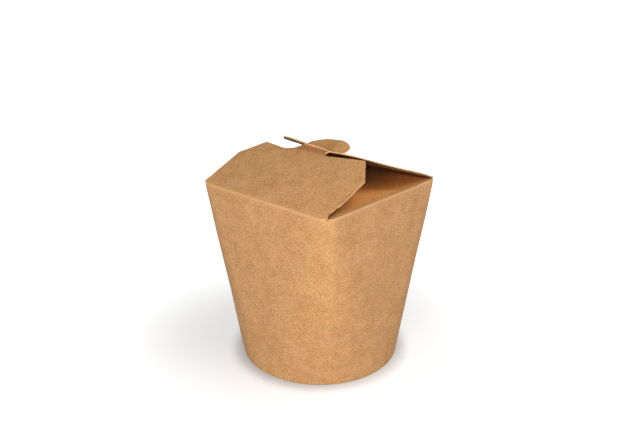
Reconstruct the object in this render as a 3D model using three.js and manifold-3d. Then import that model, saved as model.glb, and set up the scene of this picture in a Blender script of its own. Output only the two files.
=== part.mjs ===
// A round-based noodle takeaway box of folded kraft board, shut by a hooked tab.
// Millimetres, +Z up, origin at the centre of the base ring. The front flap folds up from the
// -Y wall and its tab passes through a slit in the rear flap, which folds up from the +Y wall.
// The two inner flaps slope down from the -X and +X walls below them.
import * as THREE from "three";
import { mergeVertices } from "three/addons/utils/BufferGeometryUtils.js";
import Module from "manifold-3d";

// Driving dimensions of the walls and the base.
const topWidth = 90;
const wallHeight = 99.8;
const cornerRadius = 6;
const baseRadius = 43.7;
const rimWidth = 1.7;
const baseRecess = 3.6;
const board = 0.5;
const knuckleRadius = 1.1;
const cornerSteps = 12;

// The inner flaps: slope in degrees, half widths at the fold and at the free end.
const innerSlope = 12;
const innerHalfFold = 43;
const innerHalfEnd = 36;
const innerGap = 3;
const innerShadowDepth = 6;

// The outer flaps: half widths and distances up the board from the fold.
const foldHalf = 43.6;
const foldRise = 2.3;
const shoulderHalf = 44.3;
const shoulderReach = 29.2;
const frontHalf = 34.4;
const frontReach = 42.3;
const rearHalf = 22.5;
const rearReach = 54.4;

// The tab of the front flap and the slot beside its neck.
const filletStart = -20;
const filletLow = 40.3;
const neckLeft = -11.4;
const neckRise = 42.6;
const tabLeft = -8.4;
const tabLeftRise = 47.5;
const tabTopAt = 6;
const tabTop = 54.5;
const hookRight = 21.4;
const hookMiddle = 47.6;
const hookLow = 44.6;
const slotAt = 10.1;
const lipRise = 40.8;
const hookCorner = 2.2;

// The slit of the rear flap, in the rear flap's own left-to-right direction.
const slitFrom = [-9.6, 51.3];
const slitTo = [16.6, 50];
const slitWidth = 2.2;

// How the flaps bend: first angle, flattening over 45 mm, twist over 35 mm, all in degrees.
const frontBend = { start: 25.2, bow: 2.6, twist: 1.1 };
const rearBend = { start: 22.5, bow: 1.5, twist: 1.1 };
const hookLift = { height: 1.5, from: 5, over: 9, above: 41, within: 4 };
const rearDip = { height: 0.8, at: -14, spread: 7, above: 42, within: 8 };

// Cutting allowances: how far a sheet's face stays inside the walls, how far an outline runs down
// past its fold, how far a cut runs past the faces it goes through, and the rows of a bent sheet.
const skin = 0.02;
const rootDepth = 4;
const past = 5;
const sheetRows = 12;
const sheetColumns = 22;
const arcSteps = 5;

const half = topWidth / 2;
const radians = THREE.MathUtils.degToRad;

// A smooth step from 0 to 1.
function ease(t) {
  return THREE.MathUtils.smoothstep(t, 0, 1);
}

// Merges the points of a closed mesh, with only their positions kept.
function welded(geometry) {
  const plain = geometry.clone();
  plain.deleteAttribute("normal");
  plain.deleteAttribute("uv");
  return mergeVertices(plain, 1e-5);
}

const wasm = await Module();
wasm.setup();

// A solid of a closed mesh.
function solidOf(geometry) {
  const mesh = welded(geometry);
  return new wasm.Manifold(new wasm.Mesh({
    numProp: 3,
    vertProperties: new Float32Array(mesh.getAttribute("position").array),
    triVerts: new Uint32Array(mesh.getIndex().array),
  }));
}

// The geometry of a finished solid.
function geometryOf(solid) {
  const mesh = solid.getMesh();
  const geometry = new THREE.BufferGeometry();
  geometry.setAttribute("position", new THREE.BufferAttribute(new Float32Array(mesh.vertProperties), 3));
  geometry.setIndex(new THREE.BufferAttribute(new Uint32Array(mesh.triVerts), 1));
  geometry.computeVertexNormals();
  return geometry;
}

// A geometry of a list of points and triangles.
function meshOf(points, triangles) {
  const geometry = new THREE.BufferGeometry();
  geometry.setAttribute("position", new THREE.Float32BufferAttribute(points.flat(), 3));
  geometry.setIndex(triangles.flat());
  return geometry;
}

// Points round a square with rounded corners, paired with the angle that each faces.
function roundedSquare(halfWidth, radius) {
  const points = [];
  for (let corner = 0; corner < 4; corner += 1) {
    const first = (corner * Math.PI) / 2;
    const middle = first + Math.PI / 4;
    const centreX = (halfWidth - radius) * Math.sign(Math.cos(middle));
    const centreY = (halfWidth - radius) * Math.sign(Math.sin(middle));
    for (let step = 0; step <= cornerSteps; step += 1) {
      const angle = first + (step / cornerSteps) * (Math.PI / 2);
      const x = centreX + radius * Math.cos(angle);
      const y = centreY + radius * Math.sin(angle);
      points.push({ x, y, angle });
    }
  }
  return points;
}

// A body between the base circle and the rounded top square: each point of the square is joined
// to the point of the circle that faces the same way, so flat triangles and cone corners run
// between them. The inset leaves a board's thickness, and the body may run on past the top.
function walledBody(inset, above) {
  const top = roundedSquare(half - inset, cornerRadius - inset);
  const stretch = 1 + above / wallHeight;
  const low = baseRadius - inset;
  const points = [[0, 0, 0], [0, 0, wallHeight + above]];
  for (const { x, y, angle } of top) {
    const lowX = low * Math.cos(angle);
    const lowY = low * Math.sin(angle);
    points.push([lowX, lowY, 0]);
    points.push([lowX + (x - lowX) * stretch, lowY + (y - lowY) * stretch, wallHeight + above]);
  }
  const triangles = [];
  top.forEach((place, index) => {
    const next = (index + 1) % top.length;
    const here = 2 + 2 * index;
    const there = 2 + 2 * next;
    triangles.push([here, there + 1, here + 1]);
    triangles.push([1, here + 1, there + 1]);
    const turned = Math.abs(Math.sin(top[next].angle - place.angle)) > 1e-6;
    if (turned) {
      triangles.push([here, there, there + 1]);
      triangles.push([0, there, here]);
    }
  });
  return solidOf(meshOf(points, triangles));
}

// A flat shape drawn in X and Z, extruded along Y by the given length about the middle.
function barAlongY(shape, length) {
  const geometry = new THREE.ExtrudeGeometry(shape, { depth: length, bevelEnabled: false });
  geometry.rotateX(Math.PI / 2);
  geometry.translate(0, length / 2, 0);
  return geometry;
}

// A shape from corner points.
function outline(corners) {
  return new THREE.Shape(corners.map(([x, y]) => new THREE.Vector2(x, y)));
}

// The space above both inner flaps, lowered by a distance, as a wide upright V.
function valley(lowered) {
  const drop = half * Math.tan(radians(innerSlope));
  const floor = wallHeight - lowered;
  const above = wallHeight + past - 1;
  return solidOf(barAlongY(outline([[-half, floor], [0, floor - drop], [half, floor], [half, above],
    [-half, above]]), topWidth));
}

// A column over a flat shape, from one height to another.
function column(shape, from, to) {
  const geometry = new THREE.ExtrudeGeometry(shape, { depth: to - from, bevelEnabled: false });
  geometry.translate(0, 0, from);
  return solidOf(geometry);
}

// The column over both inner flaps, which taper from the fold to the free end.
function innerFlapColumn(from, to) {
  const ends = [];
  for (const side of [-1, 1]) {
    const end = (side * innerGap) / 2;
    const fold = side * (half + past);
    const corners = [[fold, -innerHalfFold], [end, -innerHalfEnd], [end, innerHalfEnd],
      [fold, innerHalfFold]];
    ends.push(column(outline(side < 0 ? corners.reverse() : corners), from, to));
  }
  return ends[0].add(ends[1]);
}

// What a rounded fold takes off a top edge, along +X and then turned to its side. The fold turns
// from the upright wall to the given rise, and lies a distance inside the board's outer face.
function foldTrim(rise, inside, side) {
  const turn = radians(90 - rise);
  const cut = knuckleRadius * Math.tan(turn / 2);
  const far = half + past;
  const shape = new THREE.Shape();
  shape.moveTo(far, wallHeight - cut);
  shape.lineTo(half - inside, wallHeight - cut);
  shape.absarc(half - knuckleRadius, wallHeight - cut, knuckleRadius - inside, 0, turn, false);
  shape.lineTo(half - knuckleRadius - past, wallHeight + past);
  shape.lineTo(far, wallHeight + past);
  const geometry = barAlongY(shape, topWidth + 2 * past);
  geometry.rotateZ((side * Math.PI) / 2);
  return solidOf(geometry);
}

// The distance out from the fold and up along a flap's outer face, after a length of board. A
// negative length lies on the wall, and the fold's arc replaces the sharp corner.
function alongFlap(length, start, bow) {
  const turn = radians(90 - start);
  const cut = knuckleRadius * Math.tan(turn / 2);
  if (length <= -cut) {
    return { out: 0, up: length, angle: 90 };
  }
  if (length < cut) {
    const share = (length + cut) / (2 * cut);
    const angle = 90 - share * (90 - start);
    const out = knuckleRadius * (1 - Math.sin(radians(angle)));
    const up = -cut + knuckleRadius * Math.cos(radians(angle));
    return { out, up, angle };
  }
  const steps = 24;
  let out = 0;
  let up = 0;
  for (let step = 0; step < steps; step += 1) {
    const middle = ((step + 0.5) / steps) * length;
    const angle = radians(start - (bow * middle) / half);
    out += (Math.cos(angle) * length) / steps;
    up += (Math.sin(angle) * length) / steps;
  }
  return { out, up, angle: start - (bow * length) / half };
}

// A point of a flap's board: u runs along the fold, v up the board and depth into it.
function flapPoint(u, v, depth, bend, bump) {
  const { out, up, angle } = alongFlap(v, bend.start + (bend.twist * u) / 35, bend.bow);
  const raise = bump(u, v) - depth;
  const y = -half + out - raise * Math.sin(radians(angle));
  const z = wallHeight + up + raise * Math.cos(radians(angle));
  return [u, y, z];
}

// The front tab rises over the rear flap on its hooked side.
function frontBump(u, v) {
  const across = ease((u - hookLift.from) / hookLift.over);
  return hookLift.height * across * ease((v - hookLift.above) / hookLift.within);
}

// The rear flap gives way a little under the hook.
function rearBump(u, v) {
  const across = Math.exp(-(((u - rearDip.at) / rearDip.spread) ** 2));
  return -rearDip.height * across * ease((v - rearDip.above) / rearDip.within);
}

// Even stations from one value to another.
function stations(from, to, count) {
  return Array.from({ length: count + 1 }, (unused, index) => from + ((to - from) * index) / count);
}

// A bent sheet of board from just below the fold to past the free edge.
function bentSheet(bend, bump, reach) {
  const cut = knuckleRadius * Math.tan(radians(90 - bend.start) / 2);
  const across = stations(-half - 1, half + 1, sheetColumns);
  const along = [-2 * knuckleRadius, ...stations(-cut, cut, arcSteps),
    ...stations(rootDepth, reach, sheetRows)];
  const points = [];
  for (const depth of [skin, board + skin]) {
    for (const v of along) {
      for (const u of across) {
        points.push(flapPoint(u, v, depth, bend, bump));
      }
    }
  }
  const layer = along.length * across.length;
  const at = (row, column, deep) => deep * layer + row * across.length + column;
  const triangles = [];
  const quad = (a, b, c, d) => triangles.push([a, b, c], [a, c, d]);
  const rows = along.length - 1;
  const columns = across.length - 1;
  for (let row = 0; row < rows; row += 1) {
    for (let column = 0; column < columns; column += 1) {
      quad(at(row, column, 0), at(row, column + 1, 0), at(row + 1, column + 1, 0), at(row + 1, column, 0));
      quad(at(row, column, 1), at(row + 1, column, 1), at(row + 1, column + 1, 1), at(row, column + 1, 1));
    }
    quad(at(row, 0, 1), at(row, 0, 0), at(row + 1, 0, 0), at(row + 1, 0, 1));
    quad(at(row, columns, 0), at(row, columns, 1), at(row + 1, columns, 1), at(row + 1, columns, 0));
  }
  for (let column = 0; column < columns; column += 1) {
    quad(at(0, column, 1), at(0, column + 1, 1), at(0, column + 1, 0), at(0, column, 0));
    quad(at(rows, column, 0), at(rows, column + 1, 0), at(rows, column + 1, 1), at(rows, column, 1));
  }
  return solidOf(meshOf(points, triangles));
}

// A cutter of a flap's outline, square to the flap's mean slope.
function outlineCutter(shape, slope) {
  const reach = 2 * past;
  const geometry = new THREE.ExtrudeGeometry(shape, {
    depth: 2 * reach, bevelEnabled: false, curveSegments: 10,
  });
  geometry.translate(0, 0, -reach);
  geometry.rotateX(radians(slope));
  geometry.translate(0, -half, wallHeight);
  return solidOf(geometry);
}

// The front flap's outline: shoulders, a free edge and a tab hooked to its right.
function frontOutline() {
  const slotRadius = (hookLow - lipRise) / 2;
  const shape = new THREE.Shape();
  shape.moveTo(foldHalf, -rootDepth);
  shape.lineTo(foldHalf, foldRise);
  shape.lineTo(shoulderHalf, shoulderReach);
  shape.lineTo(frontHalf, frontReach);
  shape.lineTo(slotAt, lipRise);
  shape.absarc(slotAt, lipRise + slotRadius, slotRadius, -Math.PI / 2, Math.PI / 2, true);
  shape.lineTo(hookRight - hookCorner, hookLow);
  shape.quadraticCurveTo(hookRight, hookLow, hookRight, hookMiddle);
  shape.bezierCurveTo(hookRight, hookMiddle + 4.2, tabTopAt + 9.5, tabTop, tabTopAt, tabTop);
  shape.bezierCurveTo(tabTopAt - 7, tabTop, tabLeft + 1.1, tabLeftRise + 2.4, tabLeft, tabLeftRise);
  shape.lineTo(neckLeft, neckRise);
  shape.bezierCurveTo(neckLeft - 1.6, neckRise - 2.2, filletStart + 3.4, filletLow - 0.5,
    filletStart, filletLow);
  shape.lineTo(-frontHalf, frontReach);
  shape.lineTo(-shoulderHalf, shoulderReach);
  shape.lineTo(-foldHalf, foldRise);
  shape.lineTo(-foldHalf, -rootDepth);
  return shape;
}

// The rear flap's outline, longer than the front one, with the slit for the tab.
function rearOutline() {
  const shape = outline([[foldHalf, -rootDepth], [foldHalf, foldRise], [shoulderHalf, shoulderReach],
    [rearHalf, rearReach], [-rearHalf, rearReach], [-shoulderHalf, shoulderReach],
    [-foldHalf, foldRise], [-foldHalf, -rootDepth]]);
  const [fromU, fromV] = slitFrom;
  const [toU, toV] = slitTo;
  const lean = Math.atan2(toV - fromV, toU - fromU);
  const radius = slitWidth / 2;
  const slit = new THREE.Path();
  slit.absarc(toU - radius, toV, radius, lean - Math.PI / 2, lean + Math.PI / 2, false);
  slit.absarc(fromU + radius, fromV, radius, lean + Math.PI / 2, lean + (3 * Math.PI) / 2, false);
  slit.closePath();
  shape.holes.push(slit);
  return shape;
}

// An outer flap, folded up from the -Y wall.
function outerFlap(shape, bend, bump, reach) {
  const slope = bend.start - bend.bow / 2;
  const square = outline(roundedSquare(half - skin, cornerRadius).map(({ x, y }) => [x, y]));
  const inWalls = column(square, wallHeight - half, wallHeight + half);
  return bentSheet(bend, bump, reach).intersect(outlineCutter(shape, slope)).intersect(inWalls);
}

// The shut box as one piece of board, filled below its inner flaps.
function carton() {
  let solid = walledBody(0, 0);
  const disc = new THREE.CylinderGeometry(baseRadius - rimWidth, baseRadius - rimWidth, 2 * baseRecess, 64);
  disc.rotateX(Math.PI / 2);
  solid = solid.subtract(solidOf(disc));
  const inside = walledBody(board, past);
  solid = solid.subtract(valley(0).intersect(inside));
  const flapsUnder = innerFlapColumn(wallHeight - half, wallHeight + half);
  const gaps = valley(innerShadowDepth).intersect(inside).subtract(flapsUnder);
  solid = solid.subtract(gaps);
  for (const side of [0, 2]) {
    solid = solid.subtract(foldTrim(-innerSlope, 3 * skin, side));
  }
  solid = solid.subtract(foldTrim(rearBend.start, board / 2, 1));
  solid = solid.subtract(foldTrim(frontBend.start, board / 2, 3));
  const front = outerFlap(frontOutline(), frontBend, frontBump, tabTop + past);
  const rear = outerFlap(rearOutline(), rearBend, rearBump, rearReach + past).rotate([0, 0, 180]);
  return solid.add(front).add(rear);
}

const kraft = new THREE.MeshStandardMaterial({ color: 0xc89764, roughness: 0.85, metalness: 0 });
const mesh = new THREE.Mesh(geometryOf(carton()), kraft);
mesh.name = "carton";

const noodleBox = new THREE.Group();
noodleBox.add(mesh);

export default noodleBox;
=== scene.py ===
"""A round-based noodle takeaway box of brown kraft board, folded shut with a hooked tab.

The board is one sheet: walls between a base circle and a rounded square, curved folds, two outer
flaps that meet over two inner ones, and a curl round the base disc. Lengths are in millimetres
until a mesh is made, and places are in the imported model's own frame.
"""

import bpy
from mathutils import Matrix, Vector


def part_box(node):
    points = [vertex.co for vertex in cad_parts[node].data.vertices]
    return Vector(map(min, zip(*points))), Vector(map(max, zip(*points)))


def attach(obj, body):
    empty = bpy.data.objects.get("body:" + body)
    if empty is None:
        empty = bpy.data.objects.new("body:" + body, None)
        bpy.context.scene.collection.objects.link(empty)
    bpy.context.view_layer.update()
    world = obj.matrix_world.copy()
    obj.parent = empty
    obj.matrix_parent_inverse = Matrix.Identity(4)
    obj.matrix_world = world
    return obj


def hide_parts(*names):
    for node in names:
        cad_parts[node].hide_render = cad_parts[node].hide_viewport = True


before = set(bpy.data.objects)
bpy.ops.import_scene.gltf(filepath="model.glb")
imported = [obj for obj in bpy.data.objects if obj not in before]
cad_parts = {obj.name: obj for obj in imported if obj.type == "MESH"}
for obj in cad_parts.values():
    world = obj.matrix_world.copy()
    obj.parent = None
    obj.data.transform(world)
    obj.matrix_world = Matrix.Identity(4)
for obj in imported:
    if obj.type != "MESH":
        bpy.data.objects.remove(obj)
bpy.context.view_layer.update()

import logging
import math
from dataclasses import dataclass, field
from enum import Enum
from typing import Callable, Sequence

import bpy
from mathutils import Matrix, Vector, noise
from mathutils.geometry import delaunay_2d_cdt

LOG = logging.getLogger("noodle_box")
MM = 0.001
SENSOR = 36.0
TWIST_REACH = 35.0
FOLD_WEAR = 0.3
HALF_TOP = (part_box("carton")[1].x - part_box("carton")[0].x) / 2 / MM
Point = tuple[float, float]
Colour = tuple[float, float, float]


class Side(Enum):
    """The four walls, by the quarter turns from the front one."""

    FRONT = 0
    RIGHT = 1
    BACK = 2
    LEFT = -1


class Face(Enum):
    """The material index of a face of the board."""

    OUTSIDE = 0
    INSIDE = 1
    CUT = 2


def ease(t: float) -> float:
    """Returns a smooth step of t from 0 to 1."""
    t = min(1.0, max(0.0, t))
    return t * t * (3 - 2 * t)


def lerp(a: float, b: float, t: float) -> float:
    """Returns the value a share t of the way from a to b."""
    return a + (b - a) * t


def bell(distance: float, spread: float) -> float:
    """Returns a bell curve of a distance, 1 at its middle."""
    return math.exp(-((distance / spread) ** 2))


def even(start: float, end: float, count: int) -> list[float]:
    """Returns count + 1 even stations from start to end."""
    return [lerp(start, end, index / count) for index in range(count + 1)]


def cubic(ends: Sequence[Point], count: int) -> list[Point]:
    """Samples a cubic curve.

    Args:
        ends: The start, its handle, the end's handle and the end.
        count: The number of steps.

    Returns:
        The points after the start, up to the end.
    """
    a, b, c, d = (Vector(end) for end in ends)
    points = []
    for t in even(0, 1, count)[1:]:
        s = 1 - t
        point = a * s**3 + b * 3 * s * s * t + c * 3 * s * t * t + d * t**3
        points.append((point.x, point.y))
    return points


def turn(centre: Point, radius: float, start: float, end: float, count: int) -> list[Point]:
    """Samples an arc.

    Args:
        centre: The arc's centre.
        radius: The arc's radius.
        start: The first angle in degrees.
        end: The last angle in degrees.
        count: The number of steps.

    Returns:
        The points from the start to the end.
    """
    angles = [math.radians(a) for a in even(start, end, count)]
    return [(centre[0] + radius * math.cos(a), centre[1] + radius * math.sin(a)) for a in angles]


def turned(spot: Vector, quarters: int) -> Vector:
    """Returns a place turned round the box's axis by quarter turns."""
    return Matrix.Rotation(quarters * math.pi / 2, 3, "Z") @ spot


def added(name: str, data: bpy.types.ID) -> bpy.types.Object:
    """Adds an object to the scene.

    Args:
        name: The object's name.
        data: Its mesh, light or camera.

    Returns:
        The object.
    """
    made = bpy.data.objects.new(name, data)
    bpy.context.scene.collection.objects.link(made)
    return made


def sides(loop: Sequence[Point]) -> list[tuple[Point, Point]]:
    """Returns the two ends of each side of a closed loop."""
    return list(zip(loop, [*loop[1:], loop[0]]))


def inside(point: Point, loop: Sequence[Point]) -> bool:
    """Tests a point.

    Args:
        point: The point.
        loop: The corners of a closed loop.

    Returns:
        Whether the loop is round the point.
    """
    x, y = point
    found = False
    for (ax, ay), (bx, by) in sides(loop):
        if (ay > y) != (by > y) and x < ax + (y - ay) / (by - ay) * (bx - ax):
            found = not found
    return found


def gap_to(point: Point, loop: Sequence[Point]) -> float:
    """Measures a distance.

    Args:
        point: The point.
        loop: The corners of a closed loop.

    Returns:
        The distance from the point to the loop's nearest side.
    """
    p = Vector(point)
    best = math.inf
    for first, second in sides(loop):
        a, b = Vector(first), Vector(second)
        along = b - a
        share = min(1.0, max(0.0, (p - a).dot(along) / max(along.length_squared, 1e-12)))
        best = min(best, (p - a - along * share).length)
    return best


def refined(loop: Sequence[Point], longest: float) -> list[Point]:
    """Divides the long sides of a closed loop.

    Args:
        loop: The loop's corners.
        longest: The greatest length of a side.

    Returns:
        The loop with the added corners.
    """
    points = []
    for (ax, ay), (bx, by) in sides(loop):
        count = max(1, math.ceil(math.hypot(bx - ax, by - ay) / longest))
        points += [(lerp(ax, bx, i / count), lerp(ay, by, i / count)) for i in range(count)]
    return points


@dataclass(frozen=True)
class Bend:
    """How an outer flap bends. Angles are in degrees.

    Attributes:
        start: The rise at the fold's middle.
        bow: How much the rise flattens over half the top's width.
        twist: How much steeper the flap rises at TWIST_REACH along its fold.
    """

    start: float
    bow: float
    twist: float

    def rise(self, u: float) -> float:
        """Returns the rise at the fold, u along it, in radians."""
        return math.radians(self.start + self.twist * u / TWIST_REACH)

    def along(self, u: float, v: float) -> tuple[float, float, float]:
        """Follows the flap away from its fold.

        Args:
            u: The place along the fold.
            v: The length of board from the fold.

        Returns:
            The distance in from the fold, the height over it and the rise there in radians.
        """
        first = self.rise(u)
        curl = math.radians(self.bow) / HALF_TOP
        last = first - curl * v
        if abs(curl) < 1e-9:
            return v * math.cos(first), v * math.sin(first), first
        inward = (math.sin(first) - math.sin(last)) / curl
        up = (math.cos(last) - math.cos(first)) / curl
        return inward, up, last


@dataclass(frozen=True)
class Column:
    """A column of the walls' mesh.

    Attributes:
        quarter: The quarter that the column is in, in turns of 90 degrees from the front middle.
        straight: The share of the flat from the wall's middle to the corner: 1 to 2 is the corner,
            and 2 to 3 the flat after it.
        outer: Whether an outer flap rises from the column.
        inner: Whether an inner flap folds in from the column.
    """

    quarter: int
    straight: float
    outer: bool
    inner: bool

    @property
    def side(self) -> int:
        """The quarter turns of the wall that the column's flap folds on."""
        later = self.outer if self.quarter % 2 else self.inner
        return self.quarter + int(later)


@dataclass
class Walls:
    """The walls, from the base circle to the rounded top square.

    Attributes:
        height: The walls' height at the folds.
        corner: The corner radius at the top.
        base: The base circle's radius.
        board: The board's thickness.
        bead: How far a pressed fold stands out.
        outer_arc: The part of a corner's 90 degrees that an outer flap takes.
        inner_arc: The part that an inner flap takes.
        rows: The number of rows from the base to the folds.
        straight: The number of columns along half a straight top edge.
        score: How far the pressed line beside each corner stands out.
        score_place: Its distance from the corner's middle.
        score_width: How far its rise reaches on either side.
        score_rise: The level at which it starts, and the share of the height in which it grows.
        curl: The radius of the curl round the base's edge.
        lip: The height of the curled lip inside the base.
        lap: How far the board stands out where it laps over itself.
        lap_width: The width of the lap.
        lap_ramp: The width in which the lap falls away.
        unevenness: How far the walls bow in and out.
        bows: The number of bows for each millimetre.
        fade: The share of the height in which the bows fade at the base and at the folds.
    """

    height: float = 99.8
    corner: float = 6.0
    base: float = 43.7
    board: float = 0.5
    bead: float = 0.34
    outer_arc: float = 44.0
    inner_arc: float = 33.0
    rows: int = 46
    straight: int = 20
    score: float = 0.45
    score_place: float = 3.6
    score_width: Point = (4.5, 1.8)
    score_rise: Point = (0.38, 0.45)
    curl: float = 0.85
    lip: float = 3.3
    lap: float = 0.48
    lap_width: float = 11.0
    lap_ramp: float = 5.0
    unevenness: float = 0.22
    bows: float = 0.035
    fade: float = 0.08

    def quarter_length(self, t: float) -> float:
        """Returns the length of a quarter of the section at a level from 0 to 1."""
        return 2 * (HALF_TOP - self.corner) * t + lerp(self.base, self.corner, t) * math.pi / 2

    def section(self, t: float, share: float) -> tuple[float, float, float]:
        """Follows a quarter of a level section, from the front wall's middle to the right wall's.

        Args:
            t: The level, from 0 at the base to 1 at the folds.
            share: The share of the quarter's length.

        Returns:
            The place in X and Y, and the angle that the wall faces.
        """
        flat = (HALF_TOP - self.corner) * t
        radius = lerp(self.base, self.corner, t)
        length = share * self.quarter_length(t)
        angle = min(math.pi / 2, max(0.0, (length - flat) / radius))
        before = min(length, flat)
        after = max(0.0, length - flat - radius * math.pi / 2)
        x = before + radius * math.sin(angle)
        y = after - flat - radius * math.cos(angle)
        return x, y, angle

    def share(self, t: float, column: Column) -> float:
        """Places a column along its quarter, with even distances at the corner.

        Args:
            t: The level.
            column: The column.

        Returns:
            The share of the quarter's length.
        """
        half = self.corner * math.pi / 4 / self.quarter_length(t)
        if column.straight < 1:
            return column.straight * (0.5 - half)
        if column.straight > 2:
            return 1 - (3 - column.straight) * (0.5 - half)
        return 0.5 + (column.straight - 1.5) * 2 * half

    def scored(self, t: float, column: Column, share: float) -> float:
        """Measures the line that is pressed beside the corner.

        Args:
            t: The level.
            column: The column.
            share: The column's share of its quarter.

        Returns:
            How far the wall stands out.
        """
        away = (share - 0.5) * self.quarter_length(t)
        away = (-away if column.quarter % 2 else away) - self.score_place
        width = self.score_width[0] if away < 0 else self.score_width[1]
        level, growth = self.score_rise
        return self.score * ease((t - level) / growth) * math.exp(-abs(away) / width)

    def place(self, t: float, column: Column) -> Vector:
        """Places a point of the walls.

        Args:
            t: The level.
            column: The column.

        Returns:
            The place.
        """
        score_end, lap_end = 0.03, 0.02
        share = self.share(t, column)
        x, y, angle = self.section(t, share)
        faded = ease(t / self.fade) * ease((1 - t) / self.fade)
        spot = turned(Vector((x, y, self.height * t)), column.quarter)
        out = self.unevenness * faded * noise.noise(spot * self.bows)
        out += self.scored(t, column, share) * ease((1 - t) / score_end)
        if column.quarter == 2:
            from_seam = (self.share(t, self.seam_column) - share) * self.quarter_length(t)
            lapped = ease((self.lap_width + self.lap_ramp - from_seam) / self.lap_ramp)
            out += self.lap * lapped * ease((1 - t) / lap_end)
        outward = Vector((math.sin(angle), -math.cos(angle), 0)) * out
        return spot + turned(outward, column.quarter)

    def flat_place(self, t: float, column: Column) -> Point:
        """Returns a column's place on the unfolded board at a level."""
        along = (self.share(t, column) - 0.5) * self.quarter_length(t)
        return (column.quarter + 0.5) * self.quarter_length(1) + along, self.height * t

    @property
    def seam_column(self) -> Column:
        """The column at which the board's outer end lies."""
        return next(c for c in self.quarter_columns(2) if c.straight == 1 + self.outer_arc / 90)

    def quarter_columns(self, quarter: int) -> list[Column]:
        """Divides a quarter into columns.

        Args:
            quarter: The quarter's turns of 90 degrees from the front middle.

        Returns:
            The columns, the quarter's first and last ones included.
        """
        score = 45 + math.degrees(self.score_place / self.corner)
        start = 90 - self.inner_arc
        angles = even(0, self.outer_arc, 7) + even(start, score, 4) + even(score, 90, 3)[1:]
        flats = [1 - (1 - share) ** 1.5 for share in even(0, 1, self.straight)]
        stations = flats[:-1] + [1 + angle / 90 for angle in angles]
        stations += [3 - flat for flat in reversed(flats[:-1])]
        early, late = 1 + self.outer_arc / 90, 1 + start / 90
        columns = [Column(quarter, place, place <= early, place >= late) for place in stations]
        if quarter % 2 == 0:
            return columns
        return [Column(quarter, 3 - c.straight, c.outer, c.inner) for c in reversed(columns)]

    def columns(self) -> list[Column]:
        """Returns the columns once round the walls, from the seam back to the seam."""
        seam = 1 + self.outer_arc / 90
        first = [c for c in self.quarter_columns(-2) if c.straight >= seam]
        last = [c for c in self.quarter_columns(2) if c.straight <= seam]
        middle = [c for quarter in (-1, 0, 1) for c in self.quarter_columns(quarter)[1:]]
        return first + middle + last[1:]


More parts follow.
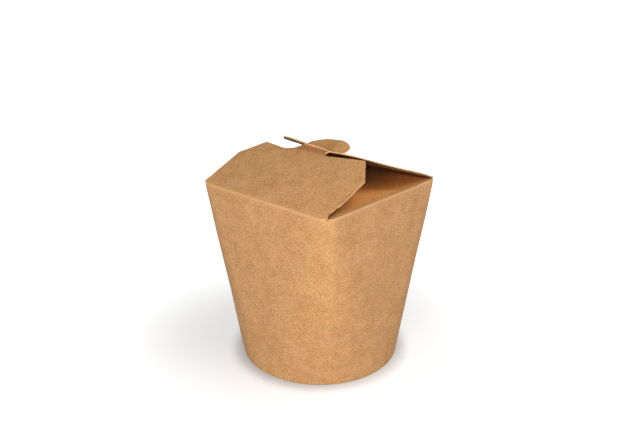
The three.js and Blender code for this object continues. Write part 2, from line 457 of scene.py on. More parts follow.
@dataclass
class Flap:
    """A flap of board.

    Attributes:
        side: The wall that it folds on.
        bend: How it bends.
        knuckle: The outer radius of its fold.
        outline: The outline from the right end of the fold round to its left end.
        holes: The outlines of holes.
        bump: How far the flap stands out of its bend at a place.
        spacing: The distance between the points of its mesh.
        steps: The number of rows across its fold.
    """

    side: Side
    bend: Bend
    knuckle: float
    outline: list[Point]
    holes: list[list[Point]] = field(default_factory=list)
    bump: Callable[[float, float], float] = lambda u, v: 0.0
    spacing: float = 1.9
    steps: int = 7

    def painted_light_share(self, v: float) -> Point:
        """Tells how much painted light and painted shade the flap's faces take.

        Args:
            v: The distance from the fold.

        Returns:
            The share of painted bounce light on the outer face, and the share of painted shade on
            the inner one.
        """
        # Outer flaps: painted shade on the inner face, up to some way past the fold.
        if self.side in (Side.FRONT, Side.BACK):
            covered, fade = 30.0, 18.0
            return 0.0, 1 - ease((v - covered) / fade)
        # Inner flaps: painted warm bounce light on the outer face, growing from the fold and fading
        # further in.
        growth, tucked, fade = 6.0, 18.0, 14.0
        return ease(v / growth) * (1 - ease((v - tucked) / fade)), 0.0

    def place(self, u: float, v: float, walls: Walls) -> Vector:
        """Places a point of the flap.

        Args:
            u: The place along the fold.
            v: The distance from the fold.
            walls: The walls.

        Returns:
            The place.
        """
        inward, up, rise = self.bend.along(u, v)
        out = self.bump(u, v)
        y = -HALF_TOP + inward - out * math.sin(rise)
        spot = Vector((u, y, walls.height + up + out * math.cos(rise)))
        return turned(spot, self.side.value)

    def root(self, column: Column, walls: Walls) -> tuple[float, float, float]:
        """Finds where a column of the walls meets the flap.

        Args:
            column: The column.
            walls: The walls.

        Returns:
            The level of the meeting point, and its place along and away from the fold.
        """
        t = 1.0
        local = Vector()
        for _ in range(3):
            local = turned(walls.place(t, column), -self.side.value)
            t = 1 + (HALF_TOP + local.y) * math.tan(self.bend.rise(local.x)) / walls.height
        return t, local.x, (HALF_TOP + local.y) / math.cos(self.bend.rise(local.x))

    def cut(self, u: float) -> float:
        """Returns how far from the sharp corner the fold's arc starts."""
        return self.knuckle * math.tan((math.pi / 2 - self.bend.rise(u)) / 2)

    def grow(self, sheet: "Sheet", walls: Walls, tops: dict[Column, int]) -> None:
        """Adds the fold and the flap to the sheet.

        Args:
            sheet: The board's sheet.
            walls: The walls.
            tops: The sheet's top point on each column of this flap, in order.
        """
        rows = [list(tops.values())]
        ends = []
        folds = []
        for column in tops:
            t, u, v = self.root(column, walls)
            cut = self.cut(u)
            start = walls.place(t - cut / walls.height, column)
            corner = walls.place(t, column)
            end = self.place(u, v + cut, walls)
            folds.append((start, corner, end, math.cos((math.pi / 2 - self.bend.rise(u)) / 2)))
            ends.append((u, v + cut))
        for step in range(1, self.steps + 1):
            share = step / self.steps
            row = []
            for (start, corner, end, weight), (u, v) in zip(folds, ends):
                a, b, c = (1 - share) ** 2, 2 * share * (1 - share) * weight, share**2
                spot = (start * a + corner * b + end * c) / (a + b + c)
                bulge = (corner - (start + end) / 2).normalized() * walls.bead
                spot += bulge * math.sin(math.pi * share) ** 2
                flat_x = self.side.value * walls.quarter_length(1) + u
                flat = (flat_x, walls.height + lerp(-self.cut(u), v, share))
                worn = lerp(FOLD_WEAR, 1.0, math.sin(math.pi * share))
                row.append(sheet.add(spot, flat, worn))
            rows.append(row)
        sheet.join(rows)
        self.fill(sheet, walls, rows[-1], ends)

    def fill(self, sheet: "Sheet", walls: Walls, roots: list[int], ends: list[Point]) -> None:
        """Triangulates the flap between its fold and its outline.

        Args:
            sheet: The board's sheet.
            walls: The walls.
            roots: The sheet's points at the fold's end, from left to right.
            ends: Their places on the flap.
        """
        whole = refined([ends[-1], *self.outline, ends[0]], self.spacing)[1:]
        after = next(i for i, p in enumerate(reversed(whole)) if p == ends[0])
        loop = [*ends, *whole[:len(whole) - after - 1]]
        holes = [refined(hole, self.spacing) for hole in self.holes]
        loops = [loop, *holes]
        left, right = min(p[0] for p in loop), max(p[0] for p in loop)
        low, high = min(p[1] for p in loop), max(p[1] for p in loop)

        def on_board(spot: Point) -> bool:
            """Returns whether a place is on the flap and in none of its holes."""
            return inside(spot, loop) and not any(inside(spot, hole) for hole in holes)

        grid = []
        clear = 0.55 * self.spacing
        height = self.spacing * math.sqrt(0.75)
        for row in range(int((high - low) / height)):
            for column in range(int((right - left) / self.spacing)):
                x = left + (column + 0.5 * (row % 2)) * self.spacing
                spot = (x, low + (row + 0.6) * height)
                if on_board(spot) and all(gap_to(spot, ring) > clear for ring in loops):
                    grid.append(spot)
        points = [p for ring in loops for p in ring] + grid
        edges = []
        first = 0
        for ring in loops:
            edges += [(first + i, first + (i + 1) % len(ring)) for i in range(len(ring))]
            first += len(ring)
        result = delaunay_2d_cdt([Vector(p) for p in points], edges, [], 0, 1e-5)
        numbers = {}
        for index, (spot, origin) in enumerate(zip(result[0], result[3])):
            if origin and origin[0] < len(roots):
                numbers[index] = roots[origin[0]]
        for triangle in result[2]:
            middle = tuple(sum((result[0][i] for i in triangle), Vector((0, 0))) / 3)
            if not on_board(middle):
                continue
            for index in triangle:
                if index not in numbers:
                    u, v = result[0][index]
                    flat = (self.side.value * walls.quarter_length(1) + u, walls.height + v)
                    numbers[index] = sheet.add(self.place(u, v, walls), flat, 0.0, self.painted_light_share(v))
            sheet.faces.append(tuple(numbers[index] for index in triangle))


@dataclass
class Sheet:
    """A growing mesh of the board's outer face.

    Attributes:
        points: The places in millimetres.
        faces: The corners of each face, counter-clockwise seen from outside.
        flat: Each point's place on the unfolded board, in millimetres.
        crease: How far each point takes part in a fold, from 0 to 1.
        tucked: How much painted warm bounce light each point of the outer face takes where it is
            tucked in, from 0 to 1.
        covered: How much painted shade each point of the inner face takes where it is covered, from
            0 to 1.
    """

    points: list[Vector] = field(default_factory=list)
    faces: list[tuple[int, ...]] = field(default_factory=list)
    flat: list[Point] = field(default_factory=list)
    crease: list[float] = field(default_factory=list)
    tucked: list[float] = field(default_factory=list)
    covered: list[float] = field(default_factory=list)

    # By default a point's outer face takes no painted bounce light and its inner face the full
    # painted shade.
    def add(self, point: Vector, flat: Point, crease: float = 0.0,
            painted_light_share: Point = (0.0, 1.0)) -> int:
        """Adds a point and returns its number.

        Args:
            point: The place in millimetres.
            flat: The place on the unfolded board.
            crease: How far it takes part in a fold.
            painted_light_share: How much painted bounce light the outer face takes there, and how
                much painted shade the inner one.

        Returns:
            The point's number.
        """
        self.points.append(point)
        self.flat.append(flat)
        self.crease.append(crease)
        self.tucked.append(painted_light_share[0])
        self.covered.append(painted_light_share[1])
        return len(self.points) - 1

    def join(self, rows: Sequence[Sequence[int]]) -> None:
        """Joins rows of points, each above the one before, from left to right."""
        for first, second in zip(rows, rows[1:]):
            self.faces += zip(first, first[1:], second[1:], second)

    def normals(self) -> list[Vector]:
        """Finds the points' normals.

        Returns:
            Each point's normal, weighted by the faces round it.
        """
        normals = [Vector() for _ in self.points]
        for face in self.faces:
            a, b, c = (self.points[i] for i in (face[0], face[1], face[-1]))
            across = (b - a).cross(c - a)
            if len(face) == 4:
                d = self.points[face[2]]
                across = (d - a).cross(c - b)
            for index in face:
                normals[index] += across
        return [normal.normalized() for normal in normals]

    def thicken(self, name: str, board: float,
                finishes: Sequence[bpy.types.Material]) -> bpy.types.Object:
        """Makes a board of the sheet.

        Args:
            name: The piece's name.
            board: The board's thickness in millimetres.
            finishes: The materials, in the order of Face.

        Returns:
            The piece.
        """
        count = len(self.points)
        back = [p - n * board for p, n in zip(self.points, self.normals())]
        faces = list(self.faces) + [tuple(i + count for i in reversed(face)) for face in self.faces]
        kinds = [Face.OUTSIDE.value] * len(self.faces) + [Face.INSIDE.value] * len(self.faces)
        ways = {(a, b) for face in self.faces for a, b in zip(face, (*face[1:], face[0]))}
        rims = [(b, a, a + count, b + count) for a, b in sorted(ways) if (b, a) not in ways]
        mesh = bpy.data.meshes.new(name)
        mesh.from_pydata([p * MM for p in self.points + back], [], faces + rims)
        kinds += [Face.CUT.value] * len(rims)
        mesh.polygons.foreach_set("material_index", kinds)
        mesh.polygons.foreach_set("use_smooth", [True] * len(kinds))
        layer = mesh.uv_layers.new(name="board")
        # The painted light share holds the outer faces' painted bounce light, then the inner faces'
        # painted shade.
        values = {"crease": self.crease * 2, "painted_light_share": self.tucked + self.covered}
        for title, numbers in values.items():
            mesh.attributes.new(title, "FLOAT", "POINT").data.foreach_set("value", numbers)
        for loop in mesh.loops:
            layer.data[loop.index].uv = Vector(self.flat[loop.vertex_index % count]) * MM
        rim_edges = {tuple(sorted(pair)) for b, a, d, c in rims for pair in ((b, a), (d, c))}
        for edge in mesh.edges:
            edge.use_edge_sharp = tuple(sorted(edge.vertices)) in rim_edges
        for finish in finishes:
            mesh.materials.append(finish)
        mesh.validate()
        return added(name, mesh)


@dataclass
class Carton:
    """The folded board of the box.

    Attributes:
        walls: The walls.
        gap: The gap between the inner flaps' free ends.
        inner_half: Half the width of an inner flap's free end.
        shoulder: The shoulders of the outer flaps: half width and distance from the fold.
        front_end: The same for the front flap's free edge.
        rear_end: The same for the rear flap's free edge.
        score_wear: How worn the pressed lines beside the corners are.
    """

    walls: Walls = field(default_factory=Walls)
    gap: float = 3.0
    inner_half: float = 43.6
    shoulder: Point = (44.75, 29.8)
    front_end: Point = (35.3, 43.0)
    rear_end: Point = (21.2, 54.4)
    score_wear: float = 0.35

    def front(self) -> Flap:
        """Shapes the front flap.

        Returns:
            The flap, with the tab hooked to its right.
        """
        slot_middle, slot_radius = (10.3, 42.55), 1.25
        outline = [self.shoulder, self.front_end]
        outline += turn(slot_middle, slot_radius, -90, -270, 8)
        outline += [(15.0, 44.15), (19.6, 44.55)]
        outline += cubic([(19.6, 44.55), (20.9, 44.7), (21.5, 45.6), (21.6, 47.2)], 4)
        outline += cubic([(21.6, 47.2), (21.6, 52.0), (13.5, 54.2), (5.0, 55.1)], 10)
        outline += cubic([(5.0, 55.1), (0.5, 55.2), (-6.2, 52.2), (-8.4, 49.0)], 8)
        outline += [(-9.8, 46.8), (-12.0, 44.3)]
        outline += cubic([(-12.0, 44.3), (-13.6, 42.2), (-16.6, 40.9), (-21.0, 41.05)], 6)
        outline += [(-self.front_end[0], self.front_end[1]), (-self.shoulder[0], self.shoulder[1])]

        def lifted(u: float, v: float) -> float:
            """Returns how far the hooked side of the tab lies over the rear flap."""
            lift = 1.5
            return lift * ease((u - 5) / 9) * ease((v - 41) / 4)

        return Flap(Side.FRONT, Bend(22.9, -0.6, 1.6), 1.6, outline, bump=lifted)

    def rear(self) -> Flap:
        """Shapes the rear flap.

        Returns:
            The flap, with the slit that holds the tab.
        """
        start, end, radius = Vector((-9.6, 51.2)), Vector((12.6, 49.25)), 0.95
        lean = math.degrees(math.atan2(end.y - start.y, end.x - start.x))
        inset = (end - start).normalized() * radius
        slit = turn(tuple(end - inset), radius, lean - 90, lean + 90, 6)
        slit += turn(tuple(start + inset), radius, lean + 90, lean + 270, 6)
        outline = [self.shoulder, self.rear_end, (-self.rear_end[0], self.rear_end[1]),
                   (-self.shoulder[0], self.shoulder[1])]

        def dipped(u: float, v: float) -> float:
            """Returns how far the flap lifts at its edges, less its dip under the hook."""
            sunk, corner_lift, side_lift = 0.7, 0.8, 0.3
            under_hook = sunk * bell(u + 13, 6) * ease((v - 42) / 8)
            corner = corner_lift * ease((u - 4) / 16) * ease((v - 36) / 16)
            side = side_lift * ease((-u - 22) / 18) * bell(v - 14, 10)
            return side + corner - under_hook

        return Flap(Side.BACK, Bend(22.75, 1.5, 1.1), 1.6, outline, [slit], dipped)

    def inner(self, side: Side) -> Flap:
        """Shapes an inner flap.

        Args:
            side: The wall that it folds on.

        Returns:
            The flap.
        """
        bend = Bend(-2.0, 2.0, 0.0)
        reach = (HALF_TOP - self.gap / 2) / math.cos(math.radians(bend.start))
        outline = [(self.inner_half, reach), (-self.inner_half, reach)]
        return Flap(side, bend, 1.0, outline, spacing=3.0)

    def build(self, finishes: Sequence[bpy.types.Material]) -> bpy.types.Object:
        """Builds the board.

        Args:
            finishes: The materials, in the order of Face.

        Returns:
            The piece.
        """
        walls = self.walls
        flaps = [self.front(), self.rear(), self.inner(Side.RIGHT), self.inner(Side.LEFT)]
        sheet = Sheet()
        columns = walls.columns()
        by_turns = {flap.side.value: flap for flap in flaps}
        heights = {}
        for column in columns[1:]:
            flap = by_turns[column.side]
            t, u, _ = flap.root(column, walls)
            heights[column] = t - flap.cut(u) / walls.height
        heights[columns[0]] = heights[columns[1]]
        rows = self.curl_rows(sheet, columns)
        start = walls.curl / walls.height
        for step in range(walls.rows + 1):
            row = []
            for column in columns:
                t = lerp(start, heights[column], step / walls.rows)
                scored = walls.scored(t, column, walls.share(t, column)) / walls.score
                worn = FOLD_WEAR if step == walls.rows else self.score_wear * scored
                row.append(sheet.add(walls.place(t, column), walls.flat_place(t, column), worn))
            rows.append(row)
        sheet.join(rows)
        tops = list(zip(columns, rows[-1]))
        for flap in flaps:
            flap.grow(sheet, walls, {c: top for c, top in tops if c.side == flap.side.value})
        return sheet.thicken("carton_board", walls.board, finishes)

    def curl_rows(self, sheet: Sheet, columns: list[Column]) -> list[list[int]]:
        """Adds the lip and the curl round the base to the sheet.

        Args:
            sheet: The board's sheet.
            columns: The columns once round the walls.

        Returns:
            Their rows of points.
        """
        walls = self.walls
        rows = []
        start = walls.curl / walls.height
        profile = [(-walls.curl * 2, z) for z in even(walls.lip, walls.curl, 3)]
        profile += turn((-walls.curl, walls.curl), walls.curl, -180, 0, 8)[1:-1]
        edges = [(walls.place(start, column), walls.flat_place(start, column)[0])
                 for column in columns]
        for out, z in profile:
            rows.append([])
            for edge, x in edges:
                level = Vector((edge.x, edge.y, 0))
                spot = level + level.normalized() * out + Vector((0, 0, z))
                rows[-1].append(sheet.add(spot, (x, out * 2 - z)))
        return rows


@dataclass
class BaseDisc:
    """The round bottom, held in the walls' curl.

    Attributes:
        radius: The outer radius of its skirt.
        height: The height of its underside over what the box stands on.
        fillet: The outer radius of the turn into its skirt.
        skirt: The height of the skirt's end.
        crown: How far its middle is pressed up.
        crown_edge: The share of the radius in which it rises to that.
        board: The board's thickness.
        steps: The number of points round it.
    """

    radius: float = 43.0
    height: float = 3.6
    fillet: float = 1.2
    skirt: float = 1.4
    crown: float = 0.5
    crown_edge: float = 0.35
    board: float = 0.45
    steps: int = 96

    def build(self, finishes: Sequence[bpy.types.Material]) -> bpy.types.Object:
        """Builds the disc.

        Args:
            finishes: The materials, in the order of Face.

        Returns:
            The piece.
        """
        sheet = Sheet()
        inner = self.radius - self.board
        bend = self.fillet - self.board
        profile = [(inner, self.skirt), (inner, self.height - bend)]
        profile += turn((inner - bend, self.height - bend), bend, 0, 90, 5)[1:]
        last = inner - bend
        for share in even(1, 0, 14)[1:-1]:
            raised = self.crown * ease((1 - share) / self.crown_edge)
            profile.append((last * share, self.height + raised))
        rows = []
        for radius, z in profile:
            places = turn((0, 0), radius, 0, -360, self.steps)[:-1]
            ring = [sheet.add(Vector((*place, z)), place) for place in places]
            rows.append([*ring, ring[0]])
        sheet.join(rows)
        middle = sheet.add(Vector((0, 0, self.height + self.crown)), (0, 0))
        for a, b in zip(rows[-1], rows[-1][1:]):
            sheet.faces.append((a, b, middle))
        return sheet.thicken("base_disc", self.board, finishes)


class Signal:
    """A socket that takes part in arithmetic."""

    def __init__(self, finish: "Finish", socket: bpy.types.NodeSocket) -> None:
        """Wraps a socket of a finish's tree."""
        self.finish = finish
        self.socket = socket

    def math(self, operation: str, first: "Value", second: "Value") -> "Signal":
        """Returns the result of an operation on two values."""
        return self.finish.node("ShaderNodeMath", {"operation": operation}, {0: first, 1: second})

    def __add__(self, other: "Value") -> "Signal":
        """Returns the sum."""
        return self.math("ADD", self, other)

    def __radd__(self, other: "Value") -> "Signal":
        """Returns the sum."""
        return self.math("ADD", other, self)

    def __sub__(self, other: "Value") -> "Signal":
        """Returns the difference."""
        return self.math("SUBTRACT", self, other)

    def __rsub__(self, other: "Value") -> "Signal":
        """Returns the difference from another value."""
        return self.math("SUBTRACT", other, self)

    def __mul__(self, other: "Value") -> "Signal":
        """Returns the product."""
        return self.math("MULTIPLY", self, other)

    def __rmul__(self, other: "Value") -> "Signal":
        """Returns the product."""
        return self.math("MULTIPLY", other, self)

    def clipped(self) -> "Signal":
        """Returns the value kept between 0 and 1."""
        return self.finish.node("ShaderNodeClamp", {}, {"Value": self})

    def between(self, low: float, high: float) -> "Signal":
        """Returns a smooth step from 0 at the low value to 1 at the high one."""
        return self.finish.node("ShaderNodeMapRange", {"interpolation_type": "SMOOTHSTEP"},
                                {"Value": self, "From Min": low, "From Max": high})


Value = Signal | float | tuple[float, ...]


@dataclass(frozen=True)
class Pattern:
    """A pattern of noise.

    Attributes:
        scale: The number of patches for each unit of length.
        detail: The number of finer layers.
        rough: How strong the finer layers are.
    """

    scale: float
    detail: float
    rough: float


@dataclass(frozen=True)
class Lay:
    """A direction in which long fibres lie.

    Attributes:
        angle: Its turn in degrees.
        along: The number of fibres for each metre along it.
        across: The number of fibres for each metre across it.
        pale: The noise values between which a pale fibre comes up.
        dark: The same for a dark fibre, counted down from 1.
    """

    angle: float
    along: float
    across: float
    pale: Point
    dark: Point


class Finish:
    """A material under construction."""

    def __init__(self, name: str, roughness: float, specular: float) -> None:
        """Starts a material.

        Args:
            name: The material's name.
            roughness: The roughness where none is linked.
            specular: The specular level.
        """
        self.material = bpy.data.materials.new(name)
        self.material.use_nodes = True
        self.tree = self.material.node_tree
        self.shader = self.tree.nodes["Principled BSDF"]
        self.shader.inputs["Roughness"].default_value = roughness
        self.shader.inputs["Specular IOR Level"].default_value = specular

    def node(self, kind: str, settings: dict, sockets: dict, output: int | str = 0) -> Signal:
        """Adds a node.

        Args:
            kind: The node's type.
            settings: The node's properties.
            sockets: The values or links of its inputs, by name or number.
            output: The output that is returned.

        Returns:
            The output as a signal.
        """
        made = self.tree.nodes.new(kind)
        for key, value in settings.items():
            setattr(made, key, value)
        for key, value in sockets.items():
            self.feed(made.inputs[key], value)
        return Signal(self, made.outputs[output])

    def feed(self, socket: bpy.types.NodeSocket, value: Value) -> None:
        """Links a signal to a socket, or sets its value.

        Args:
            socket: The socket.
            value: The signal or value.
        """
        if isinstance(value, Signal):
            self.tree.links.new(value.socket, socket)
        else:
            socket.default_value = value

    def mixed(self, share: Value, first: Value, second: Value, blend: str = "MIX") -> Signal:
        """Returns a mix of two colours."""
        rgba = [(*c, 1.0) if isinstance(c, tuple) and len(c) == 3 else c for c in (first, second)]
        return self.node("ShaderNodeMix", {"data_type": "RGBA", "blend_type": blend},
                         {0: share, 6: rgba[0], 7: rgba[1]}, 2)

    def noise(self, where: Signal, pattern: Pattern) -> Signal:
        """Returns the value of a pattern of noise at some coordinates."""
        return self.node("ShaderNodeTexNoise", {"noise_dimensions": "3D"}, {
            "Vector": where, "Scale": pattern.scale, "Detail": pattern.detail,
            "Roughness": pattern.rough})

    def stretched(self, where: Signal, lay: Lay) -> Signal:
        """Turns and scales coordinates.

        Args:
            where: The coordinates.
            lay: The lay of the fibres.

        Returns:
            Coordinates in which each fibre is about 1 long and 1 wide.
        """
        rotation = (0.0, 0.0, math.radians(lay.angle))
        lying = self.node("ShaderNodeMapping", {}, {"Vector": where, "Rotation": rotation})
        scale = (lay.along, lay.across, 1.0)
        return self.node("ShaderNodeMapping", {}, {"Vector": lying, "Scale": scale})

    def bump(self, height: Signal, distance: float) -> None:
        """Feeds a height to the shader's normal, with its relief in metres where it is 1."""
        raised = self.node("ShaderNodeBump", {}, {
            "Strength": 1.0, "Distance": distance, "Height": height})
        self.feed(self.shader.inputs["Normal"], raised)

    def colour(self, value: Value) -> None:
        """Feeds the base colour."""
        self.feed(self.shader.inputs["Base Color"], value)

    def glow(self, value: Value) -> None:
        """Feeds the colour of the light that the material gives off."""
        self.feed(self.shader.inputs["Emission Color"], value)
        self.shader.inputs["Emission Strength"].default_value = 1.0


@dataclass(frozen=True)
class Kraft:
    """Uncoated brown kraft board.

    Attributes:
        name: The material's name.
        dark: The colour where the fibres are darkest.
        light: The colour where they are lightest.
        warm: The tint of warmer patches.
        cool: The tint of cooler patches.
        fold: The colour of stretched fibres on a fold.
        painted_bounce_and_shade: The tint where light and shade are painted: warm painted bounce
            light on tucked-in faces, or painted shade on covered ones.
        roughness: The mean roughness.
        roughness_spread: How much the roughness varies.
        relief: The depth of the fibre relief in metres.
        relief_shares: The shares of the mottle, the grain and the fibres in the relief.
        shades: The unevenness of the shade, from broad to fine. The mottle and the grain are last.
        weights: How much each of those changes the shade.
        lays: The two lays of long fibres.
        fibre: The pattern of a lay.
        fibre_weights: How much a pale and a dark fibre change the shade.
        warmth: The pattern of warmer and cooler patches.
        wear: How much of a fold's colour shows everywhere, by the mottle and by the grain.
    """

    name: str
    dark: Colour = (0.487, 0.228, 0.071)
    light: Colour = (0.743, 0.403, 0.178)
    warm: Colour = (1.012, 0.99, 0.96)
    cool: Colour = (0.988, 1.01, 1.04)
    fold: Colour = (0.78, 0.432, 0.192)
    # Painted warm bounce light: it brightens and warms the tucked-in faces.
    painted_bounce_and_shade: Colour = (1.40, 1.11, 0.70)
    roughness: float = 0.82
    roughness_spread: float = 0.12
    relief: float = 0.00006
    relief_shares: tuple[float, ...] = (0.5, 0.35, 0.3)
    shades: tuple[Pattern, ...] = (Pattern(75, 1.0, 0.5), Pattern(210, 2.0, 0.5),
                                   Pattern(620, 2.0, 0.6), Pattern(1250, 2.0, 0.7))
    weights: tuple[float, ...] = (0.7, 0.8, 0.5, 3.7)
    lays: tuple[Lay, Lay] = (Lay(24, 330, 1900, (0.56, 0.70), (0.60, 0.74)),
                             Lay(-58, 360, 1800, (0.58, 0.72), (0.60, 0.74)))
    fibre: Pattern = Pattern(1.0, 2.0, 0.55)
    fibre_weights: Point = (0.42, 0.38)
    warmth: Pattern = Pattern(120, 2.0, 0.6)
    wear: tuple[float, ...] = (0.3, 0.9, 0.4)

    def make(self) -> bpy.types.Material:
        """Builds the material."""
        finish = Finish(self.name, self.roughness, 0.25)
        board = finish.node("ShaderNodeUVMap", {"uv_map": "board"}, {})
        layers = [finish.noise(board, pattern) for pattern in self.shades]
        mottle, grain = layers[-2:]
        lying, crossing = [finish.noise(finish.stretched(board, lay), self.fibre)
                           for lay in self.lays]
        first, second = self.lays
        pale_fibres = lying.between(*first.pale) + crossing.between(*second.pale)
        dark_fibres = (1 - lying).between(*first.dark) + (1 - crossing).between(*second.dark)
        share = sum(((layer - 0.5) * weight for layer, weight in zip(layers, self.weights)), 0.5)
        share += self.fibre_weights[0] * pale_fibres - self.fibre_weights[1] * dark_fibres
        colour = finish.mixed(share.clipped(), self.dark, self.light)
        warmth = finish.noise(board, self.warmth).between(0.3, 0.7)
        tint = finish.mixed(warmth, self.cool, self.warm)
        colour = finish.mixed(1.0, colour, tint, "MULTIPLY")
        # Painted light and shade: a tint for painted bounce light on tucked-in faces and painted
        # shade on covered ones.
        painted_light_share = finish.node("ShaderNodeAttribute", {"attribute_name": "painted_light_share"}, {}, "Fac")
        painted_light_tint = finish.mixed(painted_light_share, (1.0, 1.0, 1.0), self.painted_bounce_and_shade)
        colour = finish.mixed(1.0, colour, painted_light_tint, "MULTIPLY")
        crease = finish.node("ShaderNodeAttribute", {"attribute_name": "crease"}, {}, "Fac")
        even_wear, mottled, grained = self.wear
        worn = crease.between(0.0, 0.9) * (even_wear + mottled * mottle + grained * (grain - 0.5))
        finish.colour(finish.mixed(worn.clipped(), colour, self.fold))
        roughness = self.roughness + (mottle - 0.5) * self.roughness_spread
        finish.feed(finish.shader.inputs["Roughness"], roughness)
        by_mottle, by_grain, by_fibres = self.relief_shares
        height = mottle * by_mottle + grain * by_grain + pale_fibres * by_fibres
        finish.bump(height, self.relief)
        return finish.material


@dataclass(frozen=True)
class CutEdge:
    """The pale cut edge of kraft board.

    Attributes:
        name: The material's name.
        pale: The colour of the cut fibres.
        brown: The colour of the board's faces, which shows through.
        fibre: The pattern of the cut fibres.
        relief: The depth of their relief in metres.
    """

    name: str = "cut_edge"
    pale: Colour = (0.98, 0.58, 0.31)
    brown: Colour = (0.84, 0.47, 0.22)
    fibre: Pattern = Pattern(2200, 3.0, 0.6)
    relief: float = 0.00004

    def make(self) -> bpy.types.Material:
        """Builds the material."""
        finish = Finish(self.name, 0.9, 0.2)
        spot = finish.node("ShaderNodeTexCoord", {}, {}, "Object")
        fibres = finish.noise(spot, self.fibre)
        finish.colour(finish.mixed(fibres.between(0.35, 0.7), self.brown, self.pale))
        finish.bump(fibres, self.relief)
        return finish.material


@dataclass(frozen=True)
class Lamp:
    """A soft square light that faces the box.

    Attributes:
        name: The light's name.
        azimuth: Its direction from the front, in degrees.
        elevation: Its height over the horizon, in degrees.
        distance: Its distance in metres.
        size: Its side in metres.
        brightness: How bright it makes a white face square to it.
        aim: The height of the point that it faces, in metres.
    """

    name: str
    azimuth: float
    elevation: float
    distance: float
    size: float
    brightness: float
    aim: float = 0.06

    def build(self) -> None:
        """Makes the light."""
        data = bpy.data.lights.new(self.name, "AREA")
        data.shape = "SQUARE"
        data.size = self.size
        data.energy = self.brightness * (math.pi * self.distance) ** 2
        lamp = added(self.name, data)
        way = direction(self.azimuth, self.elevation)
        lamp.location = Vector((0, 0, self.aim)) + way * self.distance
        lamp.rotation_euler = (-way).to_track_quat("-Z", "Y").to_euler()
        lamp.visible_camera = False


def direction(azimuth: float, elevation: float) -> Vector:
    """Finds the way to a far place.

    Args:
        azimuth: Its direction from the front, in degrees.
        elevation: Its height over the horizon, in degrees.

    Returns:
        The way as a unit vector.
    """
    around, above = math.radians(azimuth), math.radians(elevation)
    level = Vector((math.sin(around), -math.cos(around), 0)) * math.cos(above)
    return level + Vector((0, 0, math.sin(above)))


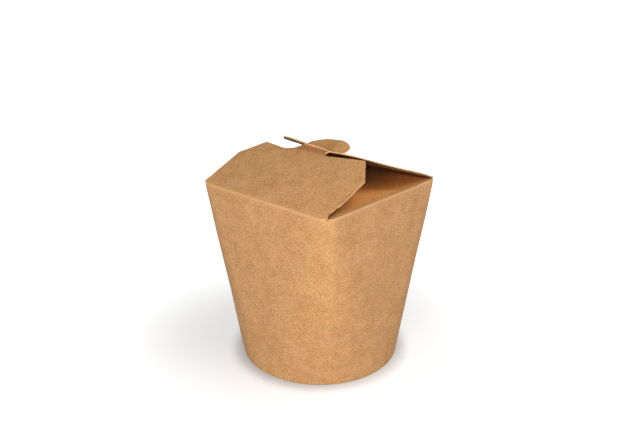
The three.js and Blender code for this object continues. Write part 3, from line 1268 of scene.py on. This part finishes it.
@dataclass
class Studio:
    """The floor, the lights and the camera.

    Attributes:
        azimuth: The camera's direction from the front, in degrees.
        elevation: Its height over the horizon, in degrees.
        aim: The height of the point that it looks at, in millimetres.
        distance: Its distance from that point, in millimetres.
        lens: Its focal length on the sensor's width.
        sky: The strength of the even surroundings.
        floor_white: The floor's reflectance.
        floor_glow: The light that the floor gives off round the box, a painted glow that is full
            white further out.
        glow_reach: The distances from the middle between which the glow grows to full, in metres.
        painted_contact_shadow: How much less it gives off right by the base: a painted shadow where
            the box stands.
        painted_contact_shadow_reach: The distances between which that painted shadow fades, in
            metres.
        span: The side of the floor and the height of the backdrop, in metres.
        backdrop_radius: The backdrop's radius in metres.
        lamps: The soft lights.
    """

    azimuth: float = 42.06
    elevation: float = 20.35
    aim: float = 80.4
    distance: float = 390.1
    lens: float = 40.22
    sky: float = 0.22
    floor_white: float = 0.60
    floor_glow: float = 0.52
    glow_reach: Point = (0.05, 0.21)
    painted_contact_shadow: float = 0.38
    painted_contact_shadow_reach: Point = (0.043, 0.054)
    span: float = 8.0
    backdrop_radius: float = 3.9
    lamps: tuple[Lamp, ...] = (
        Lamp("key_softbox", 30.0, 12.0, 0.45, 0.30, 0.86),
        Lamp("right_softbox", 108.0, 14.0, 1.2, 0.7, 0.21),
        Lamp("rear_softbox", 121.0, 59.0, 1.3, 0.8, 0.37),
    )

    def build(self) -> None:
        """Builds the floor, the lights and the camera."""
        bpy.context.scene.view_settings.view_transform = "Standard"
        self.camera()
        self.floor()
        self.backdrop()
        world = bpy.data.worlds.new("surroundings")
        world.use_nodes = True
        ground = world.node_tree.nodes["Background"]
        ground.inputs["Color"].default_value = (1.0, 1.0, 1.0, 1.0)
        ground.inputs["Strength"].default_value = self.sky
        bpy.context.scene.world = world
        for lamp in self.lamps:
            lamp.build()

    def camera(self) -> None:
        """Makes the camera at the photograph's viewing angle."""
        back = direction(self.azimuth, self.elevation)
        data = bpy.data.cameras.new("camera")
        data.sensor_width = SENSOR
        data.lens = self.lens
        data.clip_start, data.clip_end = 0.01, 20.0
        camera = added("camera", data)
        camera.location = (Vector((0, 0, self.aim)) + back * self.distance) * MM
        camera.rotation_euler = (-back).to_track_quat("-Z", "Y").to_euler()
        bpy.context.scene.camera = camera

    def floor(self) -> None:
        """Makes the pale floor, with its painted glow and a painted shadow round the base."""
        bpy.ops.mesh.primitive_plane_add(size=self.span)
        floor = bpy.context.object
        floor.name = "floor"
        white = self.floor_white
        finish = Finish("floor_white", 0.9, 0.1)
        finish.colour((white, white, white, 1.0))
        spot = finish.node("ShaderNodeTexCoord", {}, {}, "Object")
        away = finish.node("ShaderNodeVectorMath", {"operation": "LENGTH"}, {0: spot}, "Value")
        # Painted glow: weaker near the box, where the lamps light the floor and cast shadows, full
        # white further out.
        glow = self.floor_glow + (1.0 - self.floor_glow) * away.between(*self.glow_reach)
        # Painted shadow: the glow drops in a ring right round the base.
        glow = glow - self.painted_contact_shadow * (1.0 - away.between(*self.painted_contact_shadow_reach))
        finish.glow(glow)
        floor.data.materials.append(finish.material)
        floor.visible_diffuse = False

    def backdrop(self) -> None:
        """Makes the plain white wall that stands far round the box."""
        bpy.ops.mesh.primitive_cylinder_add(vertices=64, radius=self.backdrop_radius,
                                            depth=self.span, end_fill_type="NOTHING")
        wall = bpy.context.object
        wall.name = "backdrop"
        finish = Finish("backdrop_white", 0.9, 0.1)
        finish.glow((1.0, 1.0, 1.0, 1.0))
        wall.data.materials.append(finish.material)
        wall.visible_diffuse = False
        wall.visible_glossy = False
        wall.visible_shadow = False


def main() -> None:
    """Builds the box and its studio, and reports each piece."""
    logging.basicConfig(level=logging.INFO, format="%(name)s: %(message)s")
    outside = Kraft("kraft_outside").make()
    # The inside's tint is painted shade, darkening the covered inner faces.
    within = Kraft("kraft_inside", dark=(0.45, 0.160, 0.035), light=(0.70, 0.310, 0.090),
                   painted_bounce_and_shade=(0.42, 0.32, 0.26)).make()
    finishes = [outside, within, CutEdge().make()]
    board = Carton().build(finishes)
    disc = BaseDisc().build(finishes)
    for piece in (board, disc):
        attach(piece, "root")
        LOG.info("%s has %d faces", piece.name, len(piece.data.polygons))
    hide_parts("carton")
    Studio().build()


if __name__ == "__main__":
    main()
